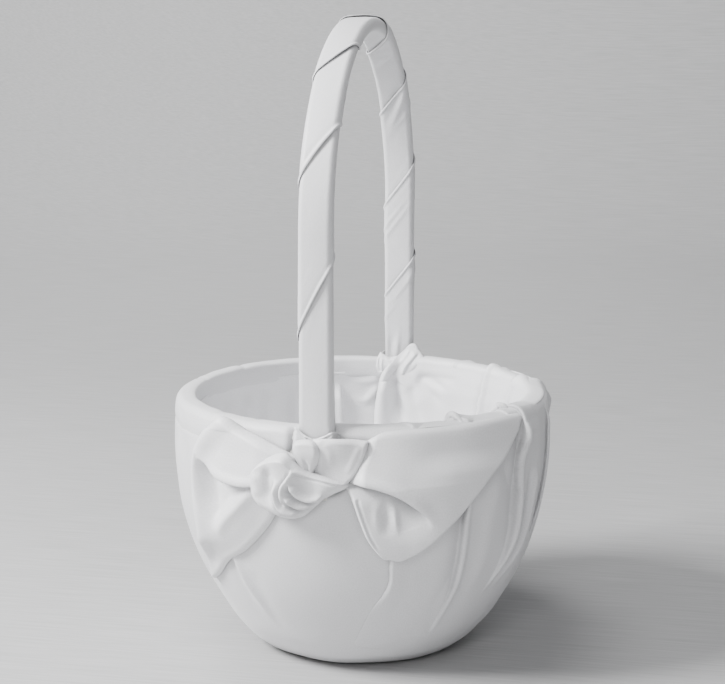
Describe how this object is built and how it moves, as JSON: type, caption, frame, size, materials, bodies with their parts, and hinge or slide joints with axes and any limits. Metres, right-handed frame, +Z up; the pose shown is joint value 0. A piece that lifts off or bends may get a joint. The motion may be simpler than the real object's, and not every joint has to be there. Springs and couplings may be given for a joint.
{
  "type": "flower girl basket",
  "caption": "Round satin-covered basket with a padded rim, a fixed ribbon-wrapped arched handle, and a sash knotted round each foot of the handle.",
  "frame": {"origin": "centre of the flat underside of the base pad, at z = 0", "axes": "+Z up along the basket's height, Y across the handle's two feet with the front knot at -Y, +X towards the pleated side"},
  "size_m": [0.1672, 0.1884, 0.2754],
  "materials": {
    "cover_satin": "white satin, soft sheen, drawn smooth over padding",
    "sash_satin": "white satin, soft sheen, folded and knotted",
    "ribbon_satin": "white satin ribbon, wound in a spiral",
    "lining_satin": "white satin, soft sheen, lightly gathered",
    "padding": "white polyester wadding",
    "bowl_plastic": "off-white moulded plastic",
    "board": "grey-brown pressed board",
    "base_felt": "white felt",
    "rivet_metal": "bare aluminium"
  },
  "bodies": {
    "root": {"back_knot_band": "sash_satin", "back_knot_roll": "sash_satin", "back_knot_wrap": "sash_satin", "back_lower_rivet": "rivet_metal", "back_sash_loop": "sash_satin", "back_sash_swag": "sash_satin", "back_upper_rivet": "rivet_metal", "base_board": "board", "base_pad": "base_felt", "basket_shell": "bowl_plastic", "floor_board": "board", "floor_cover": "lining_satin", "floor_padding": "padding", "front_knot_band": "sash_satin", "front_knot_roll": "sash_satin", "front_knot_wrap": "sash_satin", "front_lower_rivet": "rivet_metal", "front_sash_loop": "sash_satin", "front_sash_swag": "sash_satin", "front_upper_rivet": "rivet_metal", "handle_core": "bowl_plastic", "handle_padding": "padding", "handle_ribbon": "ribbon_satin", "inner_drape": "lining_satin", "lining": "lining_satin", "outer_cover": "cover_satin", "pleated_drape": "cover_satin", "rim_binding": "cover_satin", "rim_padding": "padding", "shell_padding": "padding"}
  },
  "joints": []
}
